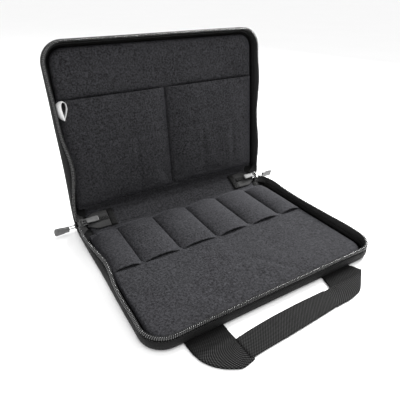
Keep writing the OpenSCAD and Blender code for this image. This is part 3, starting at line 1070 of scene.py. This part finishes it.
def zip_tail(side):
    """Closed length of zip on the spine: two tapes and the meshed coils between them."""
    name = SIDES[side]
    inner, outer = node_reach("zip_tail_" + name)
    x = np.linspace(-outer, -inner, 30)
    up = np.tile(spine_at([0, 0, 1]) - spine_at([0, 0, 0]), (len(x), 1)) / MM
    along_s = np.tile(spine_at([0, 1, 0]) - spine_at([0, 0, 0]), (len(x), 1)) / MM
    for way, half in ((-1, "base"), (1, "lid")):
        grid = np.array([tail_row(a, way) for a in x])
        tape = grid_piece("tail_tape_%s_%s" % (name, half), spine_at(mirrored(grid, side)),
                          TAIL_TAPE, tube=True)
        piece(tape, "spine", "tail", *(["zip_tail_" + name] if half == "base" else []))
        line = np.stack([x, np.full_like(x, SPINE_MID + way * 1.0), np.full_like(x, 6.1)], -1)
        path = spine_at(mirrored(line, side)) / MM
        coil = helix_mesh("tail_coil_%s_%s" % (name, half), path, up, along_s, TAIL_TAPE, 1.0, 2.3)
        piece(coil, "spine", "tail")


def tail_end(side):
    """Folded patch sewn over the inner end of a tail."""
    name = SIDES[side]
    a, b = node_reach("tail_end_" + name)
    s = np.linspace(-15.0, 15.0, 25)
    edge = np.sqrt(np.clip(1 - (np.abs(s) / 15.2) ** 8, 0, 1))
    lifts = [(a - 0.4, 0.0), (a, 2.2), (a + 1.6, 3.6), ((a + b) / 2, 4.1), (b - 1.6, 4.2),
             (b, 3.2), (b + 0.3, 0.6)]
    rows = []
    for x, lift in lifts:
        n = 2.1 + lift * edge + 0.15 * np.sin(s * 0.9)
        rows.append(np.stack([np.full_like(s, -x), SPINE_MID + s, n], -1))
    top = np.stack(rows)
    under = top[::-1].copy()
    under[..., 2] = 1.9
    points = spine_at(mirrored(np.concatenate([top, under]), side))
    obj = grid_piece("tail_patch_" + name, points, NYLON, wrap_u=True)
    outward(obj, fill=True)
    piece(obj, "spine", "cover", "tail_end_" + name)


# ------------------------------------------------------------------ sliders and pulls

OUTER_TILT = math.radians(14.0)
OUTER_SHIFT = 3.0        # how far the moulded outer tab reaches in over its wire
OUTER_DROP = 1.5
INNER_N = 10.4           # height of the inner tab above the spine


def smooth_cad(node, material, bevel=0.0):
    """Keeps a CAD node, rounds its edges with modifiers and gives it a better material."""
    obj = frame["nodes"][node]
    obj.data.materials.clear()
    obj.data.materials.append(material)
    for p in obj.data.polygons:
        p.material_index = 0
    if bevel:
        modifier(obj, "WELD", merge_threshold=0.00001)
        modifier(obj, "BEVEL", width=bevel * MM, segments=3, limit_method="ANGLE",
                 angle_limit=math.radians(35))


def tab_grid(length, wide, thick, narrow_root=0.0):
    """Pull tab as sections of (along, across, depth): waisted, with rounded edges and grip
    bars. narrow_root is how much narrower it is at its wire than at its tip."""
    rows, count = 26, 24
    theta = np.arange(count) * 2 * math.pi / count
    cos_t, sin_t = np.cos(theta), np.sin(theta)
    grid = []
    for k in range(rows):
        share = k / (rows - 1)
        root = min(1.0, rounded(share / 0.12) + 0.02)
        tip = min(1.0, rounded((1 - share) / 0.16) + 0.02)
        waist = 1 - 0.16 * math.exp(-((share - 0.24) / 0.16) ** 2)
        wave = math.sin((share - 0.42) / 0.5 * 3.5 * 2 * math.pi)
        bars = 1 + 0.10 * max(0.0, wave) * (0.42 < share < 0.92)
        taper = 1 - narrow_root + narrow_root * share
        a = wide / 2 * waist * (0.35 + 0.65 * min(root, tip)) * taper
        b = thick / 2 * (0.3 + 0.7 * min(root, tip)) * (0.88 * bars)
        across = a * np.sign(cos_t) * np.abs(cos_t) ** 0.5
        depth = b * np.sign(sin_t) * np.abs(sin_t) ** 0.5
        grid.append(np.stack([np.full(count, share * length), across, depth], -1))
    return np.stack(grid)


def moulded_tab(node, body, points):
    """Rubber tab from a grid of points in metres, in place of a CAD tab."""
    obj = grid_piece(node + "_moulded", points, RUBBER, tube=True)
    subdivide(obj, 1)
    piece(obj, body, "pull", node)


def outer_tab(side):
    """The outer tab hangs beyond the slider with its width upright."""
    node = "outer_tab_" + SIDES[side]
    near, far = node_reach(node)
    centre = sum(node_box(node)) / 2
    along, across, depth = np.moveaxis(tab_grid(far - near, 13.0, 5.0, 0.18), -1, 0)
    x = side * (near - OUTER_SHIFT + along)
    y = centre[1] + depth * math.cos(OUTER_TILT) - across * math.sin(OUTER_TILT)
    z = centre[2] - OUTER_DROP + across * math.cos(OUTER_TILT) + depth * math.sin(OUTER_TILT)
    moulded_tab(node, SIDES[side] + "_outer_pull", np.stack([x, y, z], -1) * MM)


def inner_tab(side):
    """The inner tab lies along the tail."""
    node = "inner_tab_" + SIDES[side]
    near, far = node_reach(node)
    along, across, depth = np.moveaxis(tab_grid(far - near, 9.0, 3.2), -1, 0)
    local = np.stack([-(far - along), SPINE_MID + across, INNER_N + depth], -1)
    moulded_tab(node, SIDES[side] + "_inner_pull", spine_at(mirrored(local, side)))


def sliders_and_pulls():
    """The zip's hardware and tail on both sides of the spine."""
    for side, name in SIDES.items():
        smooth_cad("slider_" + name, SLIDER_METAL, bevel=0.35)
        smooth_cad("outer_link_" + name, WIRE_METAL)
        smooth_cad("inner_link_" + name, WIRE_METAL)
        outer_tab(side)
        inner_tab(side)
        zip_tail(side)
        tail_end(side)


# ------------------------------------------------------------------ label loop

# Section of the ribbon: height above the lid's outer face, and how far off its middle.
LABEL_SECTION = [(12.5, -0.22), (17.0, -0.26), (22.0, -0.22), (22.3, 0.0), (22.0, 0.22),
                 (17.0, 0.26), (12.5, 0.22), (12.2, 0.0)]


def label_loop():
    """Blank white ribbon, folded to a loop and caught in the wall's inner seam."""
    angle = np.linspace(0, 1, 33) * 2 * math.pi
    # Teardrop: a point at the seam, a round end towards the lid's top.
    wide = 6.5 * np.sin(angle) * np.sin(angle / 2) ** 1.2
    tall = 12.0 * (1 - np.cos(angle))
    path = np.stack([-154.5 - wide + 0.08 * tall, -137.0 - tall, np.zeros_like(wide)], -1)
    ahead = unit(np.gradient(path, axis=0))
    sideways = np.stack([-ahead[:, 1], ahead[:, 0], np.zeros(len(path))], -1)
    tip_in = 0.75 * np.clip(np.sin(angle), 0, 1)
    rows = []
    for p, out, tip in zip(path, sideways, tip_in):
        rows.append([p + out * off + np.array([tip * (z - 18.5), 0, z]) for z, off in LABEL_SECTION])
    obj = grid_piece("label_ribbon_loop", lid_at(np.array(rows)), RIBBON, tube=True)
    piece(obj, "lid", "label", "label_loop")


# ------------------------------------------------------------------ handle

STRAP_COLUMNS = 25


def strap(name, node, left, right, z, thickness, u0=0.0):
    """Webbing between two edge lines of (x, y) points, with heights z along it. u0 is where its length
    starts, for its weave and for the painted shade near the case."""
    left, right = np.array(left, float), np.array(right, float)
    k = np.linspace(0, 1, len(left))
    fine = np.linspace(0, 1, (len(left) - 1) * 5 + 1)

    def smooth(values):
        return relax(np.interp(fine, k, values), 2)

    a_line = np.stack([smooth(left[:, 0]), smooth(left[:, 1])], -1)
    b_line = np.stack([smooth(right[:, 0]), smooth(right[:, 1])], -1)
    run = running((a_line + b_line) / 2) + u0
    share = np.linspace(0, 1, STRAP_COLUMNS)
    rows, uvs = [], []
    for a, b, height, u in zip(a_line, b_line, smooth(np.array(z, float)), run):
        width = np.linalg.norm(b - a)
        flat = a + (b - a) * share[:, None]
        edge = rounded(np.minimum(share, 1 - share) * width / 1.1, 0.04)
        wave = 0.2 * np.sin(u / 17.0) * np.sin(share * math.pi)
        top = np.concatenate([flat, (height + wave + thickness / 2 * edge)[:, None]], 1)
        low = np.concatenate([flat, (height + wave - thickness / 2 * edge)[:, None]], 1)
        rows.append(np.concatenate([top, low[::-1]]))
        uv = np.stack([np.full_like(share, u), share * width], -1)
        uvs.append(np.concatenate([uv, uv[::-1]]))
    obj = grid_piece(name, np.array(rows) * MM, WEBBING, tube=True, uv=np.array(uvs))
    piece(obj, "handle", "webbing", node)


def handle():
    """Webbing handle lying on the ground in front of the case."""
    # Left leg: down from the case, then a rounded turn into the grip.
    strap("handle_left_leg", "handle_leg_left",
          [(-128, -237), (-128, -241), (-127.5, -250), (-124.5, -262), (-117.5, -273),
           (-108, -281.5), (-94, -289.5), (-77, -286.5)],
          [(-80, -237), (-80, -241), (-79.5, -249), (-79, -256), (-78.6, -257.5),
           (-78, -257.2), (-76.5, -256.8), (-74, -254.6)],
          [1.9, 1.8, 1.7, 1.5, 1.3, 1.2, 1.1, 1.2], 1.7)
    strap("handle_grip_strap", "handle_grip",
          [(-80, -284.5), (-60, -283.2), (-25, -282.2), (10, -280.4), (47, -278.2), (51, -277.8)],
          [(-80, -256.6), (-60, -254.0), (-25, -251.6), (10, -251.0), (47, -251.4), (51, -251.6)],
          [1.5, 1.45, 1.4, 1.4, 1.4, 1.45], 2.2, u0=60.0)
    strap("handle_right_leg", "handle_leg_right",
          [(118.5, -237), (119.5, -240), (122.5, -246.5), (124, -248.5), (110, -259.5),
           (91, -274.5), (70, -278.5), (46, -278.6)],
          [(67, -237), (66, -241), (63.5, -249), (62, -252.2), (60, -252.4),
           (57, -252.6), (54, -252.4), (46, -251.8)],
          [1.9, 1.8, 1.75, 1.7, 1.6, 1.4, 1.2, 1.3], 1.7)


def handle_roots():
    """Short ends of webbing from the handle's fold line in under the cover."""
    for name, middle in (("left", -104.0), ("right", 92.0)):
        x = middle + np.linspace(-24, 24, 17)
        rows = []
        for y, z in ((-228.0, 1.2), (-231.0, 1.3), (-234.0, 1.7), (-237.0, 1.9), (-241.0, 1.9)):
            top = np.stack([x, np.full_like(x, y), np.full_like(x, z + 0.75)], -1)
            low = top.copy()
            low[:, 2] -= 1.5
            rows.append(np.concatenate([top, low[::-1]]))
        obj = grid_piece("handle_root_" + name, np.array(rows) * MM, WEBBING, tube=True)
        bend_piece(obj, "base", "handle", base_at([0, -233.0, 3]), base_at([0, -240.0, 3]), "webbing",
                   "handle_anchor_" + name)


# ------------------------------------------------------------------ stitching

STITCH = 2.4             # length of a stitch
STITCH_PITCH = 3.3
THREAD_R = 0.32


def stitches(name, points, ahead, normal, body):
    """Row of small thread stitches at points (mm, shared frame), along a direction."""
    ring, bend = 6, 5
    theta = np.arange(ring) * 2 * math.pi / ring
    verts, faces = [], []
    for p, a, n in zip(points, ahead, normal):
        side = np.cross(a, n)
        base = len(verts)
        for k in range(bend):
            share = k / (bend - 1)
            rise = 4 * share * (1 - share)
            centre = p + a * (share - 0.5) * STITCH + n * (rise * 0.35 - 0.25)
            r = THREAD_R * (0.45 + 0.55 * rise ** 0.5)
            for t in theta:
                verts.append(centre + side * r * math.cos(t) + n * r * math.sin(t))
        for k in range(bend - 1):
            for j in range(ring):
                i0, i1 = base + k * ring + j, base + k * ring + (j + 1) % ring
                faces.append((i0, i1, i1 + ring, i0 + ring))
        faces.append(tuple(base + j for j in reversed(range(ring))))
        faces.append(tuple(base + (bend - 1) * ring + j for j in range(ring)))
    obj = make_object(name, np.array(verts) * MM, faces, None, THREAD)
    outward(obj)
    piece(obj, body, "cover")


def rim_stitches(half):
    """One row of stitching along the wall's folded edge, and one round the outer face."""
    face_z = -0.63 if half == "lid" else 0.12
    for index, (e, z, up) in enumerate(((0.95, 13.85, 1.0), (-9.0, 0.05, -1.0))):
        line = sweep_rim(half, [(e, z)], 1.1)[:, 0]
        if up < 0:
            line[:, 2] = face_z
        run = running(line)
        at = np.arange(2.0, run[-1] - 2.0, STITCH_PITCH)
        pos = sample(line, run, at)
        ahead = unit(sample(line, run, at + 0.5) - pos)
        world = AT[half](pos) / MM
        tip = AT[half](pos + ahead) / MM - world
        normal = AT[half](pos + np.array([0.0, 0.0, up])) / MM - world
        stitches("%s_stitching_%d" % (half, index + 1), world, tip, normal, half)


# ------------------------------------------------------------------ floor, lights and camera

def studio():
    """Pale floor, even light from all round and two soft lamps."""
    size, sink = 40.0, -0.0002
    corners = [(-size, -size, sink), (size, -size, sink), (size, size, sink), (-size, size, sink)]
    look = Look("studio_floor", Roughness=0.9, Specular_IOR_Level=0.05)
    cloud = look.noise(look.object_coords(), 3.0)
    look.colour(look.mix(cloud, grey(0.93), grey(0.96)))
    floor = make_object("studio_floor", corners, [(0, 1, 2, 3)], None, look.mat, smooth=False)
    world = bpy.data.worlds.new("studio")
    bpy.context.scene.world = world
    world.use_nodes = True
    world.node_tree.nodes["Background"].inputs[0].default_value = (1, 1, 1, 1)
    world.node_tree.nodes["Background"].inputs[1].default_value = 1.0
    add_area("key_light", (1.0, 0.15, 0.8), (0.0, -0.08, 0.06), 0.45, 46)
    add_area("top_light", (-0.2, -0.7, 1.3), (0.0, -0.1, 0.05), 1.0, 8)
    bpy.context.scene.view_settings.view_transform = "Standard"


def add_area(name, place, target, size, power):
    data = bpy.data.lights.new(name, "AREA")
    data.size = size
    data.energy = power
    light = bpy.data.objects.new(name, data)
    light.location = place
    light.rotation_mode = "QUATERNION"
    light.rotation_quaternion = (Vector(target) - Vector(place)).to_track_quat("-Z", "Y")
    bpy.context.scene.collection.objects.link(light)


def camera():
    """Camera at the photograph's viewing angle, turned slightly about its own axis."""
    data = bpy.data.cameras.new("camera")
    cam = bpy.data.objects.new("camera", data)
    bpy.context.scene.collection.objects.link(cam)
    azimuth, elevation, roll = math.radians(-30.6), math.radians(29.22), math.radians(-0.26)
    distance = 0.5486
    target = Vector((-0.009, -0.066, 0.0549))
    back = Vector((math.sin(azimuth) * math.cos(elevation), -math.cos(azimuth) * math.cos(elevation),
                   math.sin(elevation)))
    level = (-back).cross(Vector((0, 0, 1))).normalized()
    upright = level.cross(-back)
    right = level * math.cos(roll) + upright * math.sin(roll)
    up = -level * math.sin(roll) + upright * math.cos(roll)
    cam.location = target + back * distance
    cam.rotation_mode = "QUATERNION"
    cam.rotation_quaternion = Matrix((right, up, back)).transposed().to_quaternion()
    data.sensor_width = 36.0
    data.lens = 34.76
    data.clip_start, data.clip_end = 0.01, 50.0
    bpy.context.scene.camera = cam


# ------------------------------------------------------------------ build

camera()
studio()
for half in ("base", "lid"):
    half_cover(half)
    zip_tape(half)
    rim_binding(half)
    zip_coil(half)
    rim_stitches(half)
    spine_cover(half)
    for side in SIDES:
        zip_corner(half, side)
base_padding()
lid_padding()
spine_linings()
sliders_and_pulls()
label_loop()
handle()
handle_roots()
